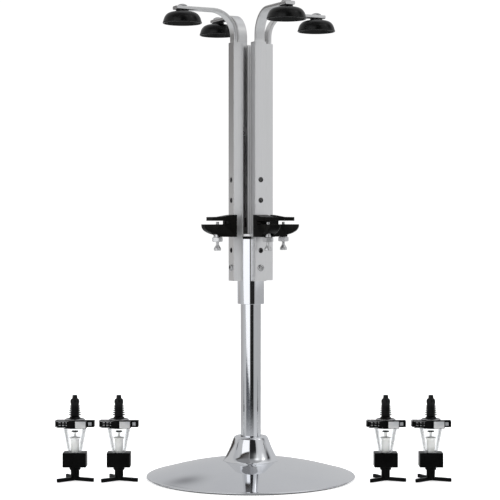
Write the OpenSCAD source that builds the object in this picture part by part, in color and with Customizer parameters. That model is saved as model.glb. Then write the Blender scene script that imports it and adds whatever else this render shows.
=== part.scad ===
// Rotary four-station bottle stand with lift-up bottle arms, clamp brackets
// and four detached shot measures. Millimetres, +Z up.
// Origin: centre of the flat pad under the base. The front is towards -Y.
// Stations are numbered 1 front left, 2 front right, 3 back right, 4 back left.

/* [Base] */
// Radius of the domed base
base_r = 175; // [160:1:190]
// Height of the dome's crown above the surface it stands on
dome_h = 32; // [28:1:36]
// Height of the dome's rolled rim
rim_h = 4.3; // [4:0.1:5]
// Thickness of the spun steel skin
skin = 1.5; // [1:0.1:2]
// Height of the top of the flared collar
collar_top = 70.5; // [68:0.5:84]
// Radius of the collar at its foot
collar_r = 48; // [44:1:54]

/* [Column] */
// Outer radius of the fixed column tube
tube_r = 17; // [15:0.5:18]
// Wall of the column tube
tube_wall = 1.5; // [1:0.1:2.5]
// Outer radius of the turning sleeve
sleeve_r = 22.3; // [21.5:0.1:24]
// Lower end of the turning sleeve
sleeve_z = 292; // [285:1:300]
// Radial running clearance of the bushes on the tube
run_fit = 0.05; // [0.02:0.01:0.1]

/* [Carousel] */
// Turn of the carousel at rest, to the first station
first_azimuth = 207; // [180:1:225]
// Lower end of the rails
rail_z = 331; // [325:1:336]
// Length of the rails
rail_len = 396; // [380:1:420]
// Width of a rail's section
rail_w = 20.5; // [20:0.1:22]
// Depth of a rail's section
rail_d = 16.7; // [15:0.1:18]
// Wall of a rail
rail_t = 1.3; // [1:0.1:1.6]
// Width of the slot in a rail's inner face
slot_w = 8.5; // [7:0.5:10]
// Radius of the access holes in a rail's outer face
hole_r = 4.4; // [3:0.1:4.5]

/* [Arms] */
// Width of the flat bar
bar_w = 17.2; // [15:0.1:17.3]
// Thickness of the flat bar
bar_t = 5.8; // [3:0.1:6]
// Radius of the bend, to the middle of the bar
bend_r = 40; // [34:1:42]
// Height of the middle of the bar's level part
arm_z = 778.6; // [776:0.2:790]
// Distance from the column's axis to the middle of a cup
reach = 125.6; // [115:0.2:135]
// Radius of a cup at its rim
cup_r = 31.75; // [28:0.25:36]
// Height of a cup, from its rim to its shoulder
cup_h = 19.6; // [16:0.2:22]
// Height of a cup's rim above the surface
cup_z = 753.2; // [745:0.2:760]

/* [Clamps] */
// Width of a clamp bracket
bracket_w = 24; // [23.5:0.1:26]
// Top face of the lower jaw
jaw_z = 425.1; // [423:0.1:426]
// Height of the gap between the jaws
gap_h = 5.9; // [5:0.1:9]
// Distance from the column's axis to a thumbscrew
screw_x = 62; // [58:0.5:66]
// Radius of a thumbscrew's stem
stem_r = 2.5; // [2:0.1:3]

/* [Shot measures] */
// Where each measure stands on the surface, from the column's axis
measure_x = [-292, -219, 224, 299];
// How far in front of the column's axis the measures stand
measure_y = -29; // [-60:1:0]
// Radius of the push bar's prongs, from the axis to the tip
prong_r = 36; // [30:1:40]
// Travel of the push bar
push_travel = 5; // [3:0.5:5]
// Width of the valve box
box_w = 39; // [34:1:42]
// Depth of the valve box
box_d = 27; // [24:1:30]
// Outer radius of the chamber at its top
chamber_r = 19; // [17:0.5:20]

/* [Hidden] */
$fn = 96;
STN = [for (i = [0:3]) first_azimuth + 90 * i];
rail_x = 19.9;                       // inner face of a rail; its slot edges are milled to sit on the sleeve
rail_out = rail_x + rail_d;          // outer face of a rail
bar_x = 32.05;                       // middle of the bar inside the rail
dome_R = (pow(172, 2) + pow(dome_h - 4, 2)) / (2 * (dome_h - 4));
dome_c = dome_h - dome_R;            // height of the dome sphere's centre
spring_x = 28.5;
spring_z0 = 392.3;
spring_z1 = 584.6;
bar_z = 590;                         // lower end of the bar
HOLES = [382, 428, 465, 499];
function dome_z(r) = dome_c + sqrt(dome_R * dome_R - r * r);

// A station's own axes: +X points outwards from the column, +Y round it.
module at_station(i) rotate([0, 0, STN[i]]) children();
module at_measure(i) translate([measure_x[i], measure_y, 0]) children();
module radial_cyl(r, x0, x1, z, f = 48) translate([x0, 0, z]) rotate([0, 90, 0]) cylinder(r = r, h = x1 - x0, $fn = f);

// ---------------------------------------------------------------- stand

// Spun steel dome with a rolled rim; the column's foot is bolted through it
module base_dome() color([0.82, 0.84, 0.87]) difference() {
    union() {
        difference() {
            intersection() {
                translate([0, 0, dome_c]) sphere(r = dome_R, $fn = 200);
                translate([0, 0, 2]) cylinder(r = 172, h = 40, $fn = 200);
            }
            translate([0, 0, dome_c]) sphere(r = dome_R - skin, $fn = 200);
        }
        rotate_extrude($fn = 200) polygon([[169.8, 2.0], [174.2, 2.0], [base_r, 2.7], [base_r, 3.6], [174.4, rim_h], [171.6, rim_h + 0.1], [169.8, 3.4]]);
    }
    translate([0, 0, 20]) cylinder(r = 6.5, h = 20);
}

// Cast iron weight inside the dome
module base_ballast() color([0.25, 0.25, 0.26]) difference() {
    union() {
        translate([0, 0, 2]) cylinder(r = 136, h = 9.5);
        translate([0, 0, 11.5]) cylinder(r = 92, h = 9);
        translate([0, 0, 20.5]) cylinder(r = 52, h = 6.5);
        translate([0, 0, 27]) cylinder(r = 22, h = 2.9);
    }
    translate([0, 0, 1]) cylinder(r = 20, h = 12);
    translate([0, 0, 12]) cylinder(r = 6.5, h = 20);
}

// Soft pad glued under the base, from rim to rim
module base_pad() color([0.08, 0.08, 0.08]) cylinder(r = 171, h = 2, $fn = 200);

// Flared chrome collar that hides the column's foot
module base_collar() color([0.8, 0.82, 0.84]) rotate_extrude($fn = 128) polygon([
    [collar_r, dome_z(collar_r) + 0.05], [collar_r - 0.8, 30.6], [collar_r - 3.4, 33.2], [collar_r - 6, 37], [39.6, 41.4], [37, 46.6], [34.8, 51.6],
    [32.8, 56.8], [31, 61.8], [29.5, 65.6], [28.4, 68], [26.8, 69.8], [24.8, collar_top], [tube_r + 0.1, collar_top],
    [tube_r + 0.1, collar_top - skin], [24.4, collar_top - skin], [25.8, 68.4], [27, 67.2], [28, 65.1], [29.5, 61.2], [31.3, 56.3], [33.3, 51],
    [35.5, 45.9], [38.2, 40.6], [collar_r - 7.4, 36.1], [collar_r - 4.6, 32.1], [collar_r - 2.6, dome_z(collar_r - 2.6) + 0.05]]);

// Column: tube with a welded foot plug and a top plug that ends in a pivot pin
module column_tube() color([0.8, 0.82, 0.84]) difference() {
    union() {
        translate([0, 0, dome_h + 0.05]) cylinder(r = tube_r, h = 366 - 0.1);
        translate([0, 0, 397]) cylinder(r = 6, h = 10);
    }
    translate([0, 0, 46]) cylinder(r = tube_r - tube_wall, h = 340);
    translate([0, 0, 30]) cylinder(r = 6.02, h = 20);
}

// Central bolt and washer that pull the ballast, the dome and the column together
module base_bolt() color([0.6, 0.6, 0.62]) {
    translate([0, 0, 10.6]) difference() {
        cylinder(r = 14, h = 2.4);
        translate([0, 0, -1]) cylinder(r = 6.1, h = 5);
    }
    union() {
        translate([0, 0, 3.4]) cylinder(r = 10.9, h = 7.2, $fn = 6);
        translate([0, 0, 10]) cylinder(r = 6, h = 34);
    }
}

// ---------------------------------------------------------------- carousel

// Chrome sleeve that turns on the column
module sleeve() color([0.8, 0.82, 0.84]) difference() {
    translate([0, 0, sleeve_z]) cylinder(r = sleeve_r, h = 401 - sleeve_z);
    translate([0, 0, sleeve_z - 1]) cylinder(r = sleeve_r - 2.5, h = 120);
    for (i = [0:3]) at_station(i) {
        radial_cyl(2.52, 15, 30, 353);
        radial_cyl(2.02, 15, 30, 382);
    }
}

// Cap with a dark shoulder ring: it closes the sleeve and hangs the carousel on the column's pivot
module sleeve_cap() color([0.7, 0.71, 0.73]) difference() {
    union() {
        translate([0, 0, 405]) cylinder(r = 22.1, h = 4.3);
        translate([0, 0, 401.02]) cylinder(r = 21.4, h = 4);
        translate([0, 0, 397.3]) cylinder(r = sleeve_r - 2.5, h = 4);
    }
    translate([0, 0, 396]) cylinder(r = 17.4, h = 4.2);
    translate([0, 0, 399]) cylinder(r = 6 + run_fit, h = 9.2);
}

// Two nylon bushes and the thrust washer
module carousel_bearings() color([0.92, 0.91, 0.86]) {
    for (z = [sleeve_z + 2, 386]) difference() {
        translate([0, 0, z]) cylinder(r = sleeve_r - 2.5, h = 11);
        translate([0, 0, z - 1]) cylinder(r = tube_r + run_fit, h = 13);
    }
    difference() {
        translate([0, 0, 398.2]) cylinder(r = 16.5, h = 2);
        translate([0, 0, 397]) cylinder(r = 6 + run_fit, h = 4);
    }
}

// Aluminium channel, open towards the column
module rail(i) color([0.78, 0.79, 0.8]) at_station(i) difference() {
    translate([0, 0, rail_z]) linear_extrude(rail_len) difference() {
        translate([rail_x, -rail_w / 2]) square([rail_d, rail_w]);
        translate([rail_x + rail_t, -rail_w / 2 + rail_t]) square([rail_d - 2 * rail_t, rail_w - 2 * rail_t]);
        translate([rail_x - 1, -slot_w / 2]) square([3, slot_w]);
        for (s = [-1, 1]) translate([rail_x - 0.3, s * 7.2 - 0.4]) square([0.7, 0.8]);
    }
    for (z = HOLES) radial_cyl(hole_r, rail_out - 3, rail_out + 2, z);
    radial_cyl(2.52, rail_out - 3, rail_out + 2, 353);
    // seat on the sleeve and its cap
    translate([0, 0, rail_z - 1]) cylinder(r = sleeve_r + 0.02, h = 410.6 - rail_z);
}

// Spacer that takes the screws and anchors the spring, and the nut plate behind the bracket
module rail_blocks() color([0.35, 0.35, 0.37]) for (i = [0:3]) at_station(i) {
    difference() {
        translate([rail_x + rail_t + 0.02, -8.9, 338]) cube([rail_d - 2 * rail_t - 0.04, 17.8, 54]);
        translate([0, 0, 337]) cylinder(r = sleeve_r + 0.02, h = 56);
        radial_cyl(2.52, 20, 40, 353);
        radial_cyl(2.02, 20, 40, 382);
        radial_cyl(4.3, 27, 40, 382);
    }
    difference() {
        translate([33, -7.5, 420]) cube([rail_out - rail_t - 33 - 0.02, 15, 16]);
        radial_cyl(2.02, 30, 40, 428.05);
    }
}

// Pan screws: one outside and one inside each rail, and one that holds each bracket
module pan_screw(x, z, len, r_head, r_shank, h_head) translate([x, 0, z]) rotate([0, 90, 0]) difference() {
    union() {
        translate([0, 0, -len]) cylinder(r = r_shank, h = len + 0.2, $fn = 32);
        cylinder(r = r_head, h = h_head * 0.6, $fn = 48);
        translate([0, 0, h_head * 0.6]) cylinder(r1 = r_head, r2 = r_head * 0.72, h = h_head * 0.4, $fn = 48);
    }
    for (a = [0, 90]) rotate([0, 0, a + 18]) translate([-r_head * 0.55, -0.6, h_head - 1.4]) cube([r_head * 1.1, 1.2, 3]);
}
module rail_screws() color([0.75, 0.76, 0.78]) for (i = [0:3]) at_station(i) {
    pan_screw(rail_out, 353, rail_out - 20, 5.85, 2.5, 3);
    pan_screw(27, 382, 7, 4, 2, 2.6);
    pan_screw(43.9, 428.05, 10.5, 2.75, 2, 2.3);
}

// Black clamp bracket: a saddle round the rail and two jaws with a gap between them.
// The lower jaw is boat-shaped: its underside rises to a rounded tip and its lower edges are cut off.
module bracket(i) color([0.07, 0.07, 0.07]) at_station(i) difference() {
    intersection() {
        translate([0, bracket_w / 2, 0]) rotate([90, 0, 0]) linear_extrude(bracket_w) polygon([
            [31.5, 404], [63.3, 404.4], [63.6, 407.2], [70, 408.8], [75.5, 410.6], [80, 412.7], [83.6, 414.9], [86.4, 417.4], [87.8, 420], [88, jaw_z],
            [46.5, jaw_z], [46.5, jaw_z + gap_h], [76.9, jaw_z + gap_h], [76.9, 437.3], [58.5, 437.6], [46, 439.6], [38, 441], [31.5, 441]]);
        translate([0, 0, 390]) linear_extrude(60) polygon([
            [30, -bracket_w / 2], [80.5, -bracket_w / 2], [85, 1.8 - bracket_w / 2], [88, 5.6 - bracket_w / 2],
            [88, bracket_w / 2 - 5.6], [85, bracket_w / 2 - 1.8], [80.5, bracket_w / 2], [30, bracket_w / 2]]);
    }
    // cut-off lower edges of the outer part
    for (s = [-1, 1]) translate([67, s * bracket_w / 2, 410.6]) rotate([0, -38, 0]) rotate([s * 54, 0, 0]) translate([-4.2, -12, -12]) cube([34, 24, 12]);
    // seat for the rail
    translate([20, -rail_w / 2 - 0.05, 400]) cube([rail_out - 20 + 0.03, rail_w + 0.1, 50]);
    // hollow under the lower jaw, between its two webs
    translate([0, 7.2, 0]) rotate([90, 0, 0]) linear_extrude(14.4) polygon([
        [43, 400], [62, 400], [72, 407], [79, 414.6], [81, 418.4], [81, 420.9], [43, 420.9]]);
    // thumbscrew hole and the bracket's own screw
    translate([screw_x, 0, 415]) cylinder(r = 5.02, h = 12, $fn = 48);
    radial_cyl(2.02, 30, 50, 428.05);
    radial_cyl(2.9, 43.9, 50, 428.05);
}

// Flanged threaded nuts that guide the thumbscrews
module clamp_nuts() color([0.78, 0.79, 0.8]) for (i = [0:3]) at_station(i) translate([screw_x, 0, 0]) difference() {
    union() {
        intersection() {
            translate([0, 0, 396.1]) rotate([0, 0, 16]) cylinder(r = 9.1, h = 7.85, $fn = 6);
            translate([0, 0, 396.1]) cylinder(r1 = 7.2, r2 = 14, h = 7.85);
        }
        translate([0, 0, 403]) cylinder(r = 5, h = 20.6);
    }
    translate([0, 0, 390]) cylinder(r = stem_r + run_fit, h = 40);
}

// ---------------------------------------------------------------- arms

// Flat bar: upright in the rail, bent outwards at the top
module arm(i) color([0.76, 0.77, 0.78]) at_station(i) difference() {
    union() {
        translate([bar_x - bar_t / 2, -bar_w / 2, bar_z]) cube([bar_t, bar_w, arm_z - bend_r - bar_z]);
        translate([bar_x + bend_r, 0, arm_z - bend_r]) rotate([90, 0, 0]) rotate([0, 0, 90])
            rotate_extrude(angle = 90) translate([bend_r - bar_t / 2, -bar_w / 2]) square([bar_t, bar_w]);
        translate([bar_x + bend_r, -bar_w / 2, arm_z - bar_t / 2]) cube([reach + 13.4 - bar_x - bend_r, bar_w, bar_t]);
    }
    translate([reach, 0, arm_z - 6]) cylinder(r = 3.02, h = 12);
    radial_cyl(2, 20, 40, bar_z + 6);
}

// Rubber cup that holds the bottle's base, hollow below
CUP_OUT = [[31.7, 1.7], [31.3, 4], [30.7, 6.3], [29.8, 9], [28.5, 11.6], [26.7, 14.1], [24.3, 16.2], [21.3, 17.8], [17.6, 18.9], [13.8, 19.4]];
CUP_IN = [[12, 16.1], [15.6, 15.7], [18.9, 14.8], [21.8, 13.4], [24.1, 11.6], [25.9, 9.5], [27.2, 7.2], [28.1, 4.8], [28.7, 2.6], [29.1, 0]];
module cup(i) color([0.05, 0.05, 0.05]) at_station(i) translate([reach, 0, cup_z]) rotate_extrude(convexity = 4) polygon(concat(
    [[cup_r + 0.4, 0], [cup_r + 0.4, 1.3]],
    [for (p = CUP_OUT) [p[0] + cup_r - 31.75, p[1] * cup_h / 19.6]],
    [[10.5, cup_h], [10.5, arm_z - bar_t / 2 - cup_z], [3.05, arm_z - bar_t / 2 - cup_z], [3.05, cup_h - 3.4], [8.5, cup_h - 3.4]],
    [for (p = CUP_IN) [p[0] + cup_r - 31.75, p[1] * (cup_h - 3.4) / 16.2]]));

// Bolt with a low domed head on the bar and a washer nut inside the cup
module cup_bolt(i) color([0.78, 0.79, 0.8]) at_station(i) translate([reach, 0, 0]) {
    translate([0, 0, arm_z + bar_t / 2]) {
        cylinder(r = 8.3, h = 0.9);
        translate([0, 0, 0.9]) cylinder(r1 = 8.3, r2 = 6.2, h = 1.5);
        translate([0, 0, 2.4]) cylinder(r1 = 6.2, r2 = 2.4, h = 1.6);
    }
    translate([0, 0, cup_z + cup_h - 7.4]) cylinder(r = 3, h = arm_z + bar_t / 2 - cup_z - cup_h + 7.4 + 0.5);
    translate([0, 0, cup_z + cup_h - 7]) cylinder(r = 6, h = 3.6);
}

// Outer shape of the extension spring that pulls the bar down
module spring(i) color([0.6, 0.6, 0.62]) at_station(i) translate([spring_x, 0, spring_z0]) cylinder(r = 4, h = spring_z1 - spring_z0, $fn = 32);

// Thumbscrew: stem through the nut, flared flat head below
module thumbscrew(i) color([0.8, 0.81, 0.82]) at_station(i) translate([screw_x, 0, 0]) {
    translate([0, 0, 387]) cylinder(r = stem_r, h = 42.2);
    translate([0, 0, 385.8]) cylinder(r1 = 5.9, r2 = stem_r, h = 4.7);
    translate([0, 0, 381.6]) cylinder(r = 5.9, h = 4.2);
}

// ---------------------------------------------------------------- shot measures

// Finned rubber stopper that goes into the bottle's neck
module stopper(i) color([0.05, 0.05, 0.05]) at_measure(i) rotate_extrude() polygon(concat(
    [[2.2, 101], [14, 101], [14, 103], [11.5, 103.6], [11.5, 105.2], [8, 106]],
    [for (k = [0:4]) each [[7.4, 107.6 + 3.5 * k], [10.2 - 0.35 * k, 109 + 3.5 * k], [10.2 - 0.35 * k, 109.7 + 3.5 * k], [7.4, 110.3 + 3.5 * k]]],
    [[7.4, 127], [8.4, 128.5], [8.2, 133], [6.4, 135.6], [4.3, 136.2], [4.1, 141.4], [3.6, 142], [2.2, 142]]));

// Moulded head: round cover with a ribbed wing, a plain front plate and a clamping lug
module measure_head(i) color([0.07, 0.07, 0.07]) at_measure(i) difference() {
    union() {
        translate([0, 0, 88]) cylinder(r = 20.6, h = 2.2);
        translate([0, 0, 90.2]) cylinder(r = 19.6, h = 9.4);
        translate([0, 0, 99.6]) cylinder(r1 = 19.6, r2 = 15.4, h = 1.4);
        // ribbed wing to the left
        translate([-31, -9, 89.4]) cube([20, 18, 11.2]);
        translate([-32.6, -7.5, 90]) cube([3, 15, 10]);
        for (k = [0:3]) translate([-26.4 + 5.6 * k, -20.4 + (k == 0 ? 7 : k == 1 ? 3.6 : 0), 90.2]) cube([2.6, 14, 9.8]);
        // plain plate in front
        translate([2.4, -21.4, 88.6]) cube([17.7, 12, 12.2]);
        // lug to the right
        translate([18, -9.5, 89.4]) cube([15, 13.5, 11]);
    }
    translate([0, 0, 84]) cylinder(r = 2.6, h = 20);
    translate([22.6, -11, 92]) cube([6, 2.6, 6]);
}

// Clear tapered chamber
module chamber(i) color([0.9, 0.94, 0.95, 0.35]) at_measure(i) rotate_extrude() polygon([
    [7.25, 47], [12.3, 47], [12.3, 49.5], [chamber_r, 86], [chamber_r, 88],
    [chamber_r - 1.8, 88], [chamber_r - 1.9, 86], [10.4, 50.4], [10.2, 49], [7.25, 49]]);

// Black valve box with the guide neck of the push bar; its front is bare
module valve_box(i) color([0.07, 0.07, 0.07]) at_measure(i) difference() {
    union() {
        translate([-box_w / 2, -box_d / 2 + 2, 23]) cube([box_w, box_d - 4, 24]);
        translate([-box_w / 2 + 2, -box_d / 2, 23]) cube([box_w - 4, box_d, 24]);
        for (x = [-1, 1], y = [-1, 1]) translate([x * (box_w / 2 - 2), y * (box_d / 2 - 2), 23]) cylinder(r = 2, h = 24, $fn = 32);
        translate([0, 0, 18]) cylinder(r = 9.3, h = 6);
    }
    translate([0, 0, 17]) cylinder(r = 7.2 + run_fit, h = 32);
}

// Three-pronged push bar on its hub, with the valve stem it carries
module plunger(i) at_measure(i) {
    color([0.07, 0.07, 0.07]) union() {
        linear_extrude(6) {
            circle(r = 6.6);
            for (a = [-25, 119, 221]) rotate(a) {
                translate([0, -2.9]) square([prong_r - 2.9, 5.8]);
                translate([prong_r - 2.9, 0]) circle(r = 2.9, $fn = 32);
            }
        }
        translate([0, 0, 5]) cylinder(r = 7.2, h = 25);
    }
    color([0.93, 0.92, 0.85]) rotate_extrude() polygon([[0, 30.02], [6.9, 30.02], [6.9, 69], [9, 70.4], [9, 71.8],
        [2.2, 71.8], [2.2, 75.6 + push_travel], [5.6, 75.6 + push_travel], [5.6, 77.6 + push_travel], [0, 77.6 + push_travel]]);
}

base_dome();
base_ballast();
base_pad();
base_collar();
column_tube();
base_bolt();
sleeve();
sleeve_cap();
carousel_bearings();
rail(0);  // rail_1
rail(1);  // rail_2
rail(2);  // rail_3
rail(3);  // rail_4
rail_screws();
rail_blocks();
bracket(0);  // bracket_1
bracket(1);  // bracket_2
bracket(2);  // bracket_3
bracket(3);  // bracket_4
clamp_nuts();
arm(0);  // arm_1
arm(1);  // arm_2
arm(2);  // arm_3
arm(3);  // arm_4
cup(0);  // cup_1
cup(1);  // cup_2
cup(2);  // cup_3
cup(3);  // cup_4
cup_bolt(0);  // cup_bolt_1
cup_bolt(1);  // cup_bolt_2
cup_bolt(2);  // cup_bolt_3
cup_bolt(3);  // cup_bolt_4
spring(0);  // spring_1
spring(1);  // spring_2
spring(2);  // spring_3
spring(3);  // spring_4
thumbscrew(0);  // thumbscrew_1
thumbscrew(1);  // thumbscrew_2
thumbscrew(2);  // thumbscrew_3
thumbscrew(3);  // thumbscrew_4
stopper(0);  // stopper_1
stopper(1);  // stopper_2
stopper(2);  // stopper_3
stopper(3);  // stopper_4
measure_head(0);  // measure_head_1
measure_head(1);  // measure_head_2
measure_head(2);  // measure_head_3
measure_head(3);  // measure_head_4
chamber(0);  // chamber_1
chamber(1);  // chamber_2
chamber(2);  // chamber_3
chamber(3);  // chamber_4
valve_box(0);  // valve_box_1
valve_box(1);  // valve_box_2
valve_box(2);  // valve_box_3
valve_box(3);  // valve_box_4
plunger(0);  // plunger_1
plunger(1);  // plunger_2
plunger(2);  // plunger_3
plunger(3);  // plunger_4
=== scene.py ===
import bpy, bmesh, math, random
from mathutils import Vector, Matrix


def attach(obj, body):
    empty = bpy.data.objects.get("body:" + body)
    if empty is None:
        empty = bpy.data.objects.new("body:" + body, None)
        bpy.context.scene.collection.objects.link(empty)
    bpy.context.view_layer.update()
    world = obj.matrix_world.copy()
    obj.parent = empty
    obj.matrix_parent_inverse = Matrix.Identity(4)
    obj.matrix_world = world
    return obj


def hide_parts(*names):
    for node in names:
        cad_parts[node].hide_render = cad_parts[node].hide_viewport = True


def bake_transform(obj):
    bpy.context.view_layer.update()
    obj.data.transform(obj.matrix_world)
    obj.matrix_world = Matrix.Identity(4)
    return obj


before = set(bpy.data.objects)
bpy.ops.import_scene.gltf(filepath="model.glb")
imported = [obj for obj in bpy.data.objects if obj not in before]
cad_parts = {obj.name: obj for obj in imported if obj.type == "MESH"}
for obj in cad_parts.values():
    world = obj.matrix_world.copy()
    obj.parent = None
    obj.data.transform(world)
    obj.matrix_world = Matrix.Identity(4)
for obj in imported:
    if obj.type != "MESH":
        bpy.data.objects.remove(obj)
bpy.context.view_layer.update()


MM = 0.001
AZ = [207, 297, 27, 117]                     # the four stations, round the column
MX, MY = [-292, -219, 224, 299], -29         # where the four shot measures stand
pi = math.pi


# ------------------------------------------------------------------ mesh helpers
def station(i):
    return Matrix.Rotation(math.radians(AZ[i]), 4, "Z")


def at_measure(i):
    return Matrix.Translation((MX[i] * MM, MY * MM, 0))


def finish_mesh(bm, name, mat, body, nodes, xf=None, sharp=32):
    if xf is not None:
        bm.transform(xf)
    bmesh.ops.remove_doubles(bm, verts=bm.verts, dist=1e-7)
    bmesh.ops.recalc_face_normals(bm, faces=bm.faces)
    me = bpy.data.meshes.new(name)
    bm.to_mesh(me)
    bm.free()
    ob = bpy.data.objects.new(name, me)
    bpy.context.scene.collection.objects.link(ob)
    for p in me.polygons:
        p.use_smooth = True
    me.set_sharp_from_angle(angle=math.radians(sharp))
    if sharp < 180:                          # large faces keep their own normals, small rounds blend between them
        w = ob.modifiers.new("w", "WEIGHTED_NORMAL")
        w.keep_sharp = True
        w.weight = 100
        me2 = bpy.data.meshes.new_from_object(ob.evaluated_get(bpy.context.evaluated_depsgraph_get()))
        ob.modifiers.clear()
        ob.data = me2
        bpy.data.meshes.remove(me)
        me = me2
        me.name = name
    mats = mat if isinstance(mat, (list, tuple)) else [mat]
    for m in mats:
        me.materials.append(m)
    if body:
        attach(ob, body)
    if nodes:
        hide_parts(*([nodes] if isinstance(nodes, str) else nodes))
    return ob


def fillet(pts, n=5):
    """A closed or open run of (x, y, radius) corners, each rounded; gives (x, y)."""
    out = []
    m = len(pts)
    for k, p in enumerate(pts):
        r = p[2] if len(p) > 2 else 0
        if r <= 0:
            out.append((p[0], p[1]))
            continue
        a, b, c = Vector(pts[k - 1][:2]), Vector(p[:2]), Vector(pts[(k + 1) % m][:2])
        u, v = (a - b), (c - b)
        lu, lv = u.length, v.length
        u.normalize(); v.normalize()
        ang = u.angle(v)
        t = min(r / math.tan(ang / 2), lu * 0.49, lv * 0.49)
        rr = t * math.tan(ang / 2)
        cen = b + (u + v).normalized() * (rr / math.sin(ang / 2))
        s, e = b + u * t, b + v * t
        a0 = math.atan2(s.y - cen.y, s.x - cen.x)
        a1 = math.atan2(e.y - cen.y, e.x - cen.x)
        d = (a1 - a0 + pi) % (2 * pi) - pi
        for j in range(n + 1):
            w = a0 + d * j / n
            out.append((cen.x + rr * math.cos(w), cen.y + rr * math.sin(w)))
    return out


def flow(pts, n=4):
    """A smooth curve through the given (x, y) points."""
    P = [pts[0]] + list(pts) + [pts[-1]]
    out = []
    for k in range(1, len(P) - 2):
        for j in range(n):
            t = j / n
            out.append(tuple(0.5 * (2 * P[k][c] + (P[k + 1][c] - P[k - 1][c]) * t + (2 * P[k - 1][c] - 5 * P[k][c] + 4 * P[k + 1][c] - P[k + 2][c]) * t * t
                                    + (3 * P[k][c] - P[k - 1][c] - 3 * P[k + 1][c] + P[k + 2][c]) * t ** 3) for c in (0, 1)))
    return out + [pts[-1]]


def lathe_bm(profile, seg=96, closed=False):
    """Turns (radius, height) points in mm round Z. Points on the axis become one vertex."""
    bm = bmesh.new()
    rings = []
    for r, z in profile:
        if r < 1e-6:
            rings.append([bm.verts.new((0, 0, z * MM))])
        else:
            rings.append([bm.verts.new((r * MM * math.cos(2 * pi * k / seg), r * MM * math.sin(2 * pi * k / seg), z * MM)) for k in range(seg)])
    pairs = list(zip(rings, rings[1:])) + ([(rings[-1], rings[0])] if closed else [])
    for a, b in pairs:
        for k in range(seg):
            l = (k + 1) % seg
            if len(a) == 1 and len(b) == 1:
                break
            if len(a) == 1:
                bm.faces.new((a[0], b[k], b[l]))
            elif len(b) == 1:
                bm.faces.new((a[k], b[0], a[l]))
            else:
                bm.faces.new((a[k], b[k], b[l], a[l]))
    return bm


def prism_bm(outline, z0, z1, axis="Z"):
    """Extrudes a closed (x, y) outline in mm from z0 to z1 along an axis."""
    bm = bmesh.new()

    def at(x, y, z):
        if axis == "Z":
            return (x * MM, y * MM, z * MM)
        return (x * MM, z * MM, y * MM)      # outline in XZ, pulled along Y

    lo = [bm.verts.new(at(x, y, z0)) for x, y in outline]
    hi = [bm.verts.new(at(x, y, z1)) for x, y in outline]
    n = len(outline)
    for k in range(n):
        bm.faces.new((lo[k], lo[(k + 1) % n], hi[(k + 1) % n], hi[k]))
    bm.faces.new(lo[::-1])
    bm.faces.new(hi)
    bmesh.ops.recalc_face_normals(bm, faces=bm.faces)
    return bm


def bevel_bm(bm, width, segs=3, angle=30):
    edges = [e for e in bm.edges if len(e.link_faces) == 2 and e.calc_face_angle(0) > math.radians(angle)]
    bmesh.ops.bevel(bm, geom=edges, offset=width * MM, segments=segs, profile=0.5, affect="EDGES", clamp_overlap=True)
    return bm


def box_bm(x0, x1, y0, y1, z0, z1, bevel=0.0, segs=3):
    bm = prism_bm([(x0, y0), (x1, y0), (x1, y1), (x0, y1)], z0, z1)
    return bevel_bm(bm, bevel, segs) if bevel else bm


def move_bm(bm, mat):
    bm.transform(mat)
    return bm


def merge(*bms):
    out = bmesh.new()
    for b in bms:
        me = bpy.data.meshes.new("tmp")
        b.to_mesh(me)
        b.free()
        out.from_mesh(me)
        bpy.data.meshes.remove(me)
    return out


def temp_obj(bm, name="tmp"):
    me = bpy.data.meshes.new(name)
    bm.to_mesh(me)
    bm.free()
    ob = bpy.data.objects.new(name, me)
    bpy.context.scene.collection.objects.link(ob)
    return ob


def cut(bm, cutters, op="DIFFERENCE"):
    """Booleans a list of closed meshes out of (or into) a closed mesh."""
    base = temp_obj(bm, "base")
    tools = []
    for c in cutters:
        t = temp_obj(c, "cut")
        tools.append(t)
        m = base.modifiers.new("b", "BOOLEAN")
        m.operation = op
        m.object = t
        m.solver = "EXACT"
    dg = bpy.context.evaluated_depsgraph_get()
    me = bpy.data.meshes.new_from_object(base.evaluated_get(dg))
    out = bmesh.new()
    out.from_mesh(me)
    for o in [base] + tools:
        d = o.data
        bpy.data.objects.remove(o)
        bpy.data.meshes.remove(d)
    bpy.data.meshes.remove(me)
    bmesh.ops.dissolve_limit(out, angle_limit=math.radians(0.3), verts=out.verts, edges=out.edges)
    return out


def cyl_bm(r, z0, z1, seg=48, chamfer=0.0):
    c = chamfer
    pr = [(0, z0), (r - c, z0), (r, z0 + c), (r, z1 - c), (r - c, z1), (0, z1)] if c else [(0, z0), (r, z0), (r, z1), (0, z1)]
    bm = lathe_bm(pr, seg)
    bmesh.ops.recalc_face_normals(bm, faces=bm.faces)
    return bm


ALONG_X = Matrix.Rotation(pi / 2, 4, "Y")    # +Z of a turned piece becomes +X


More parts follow.
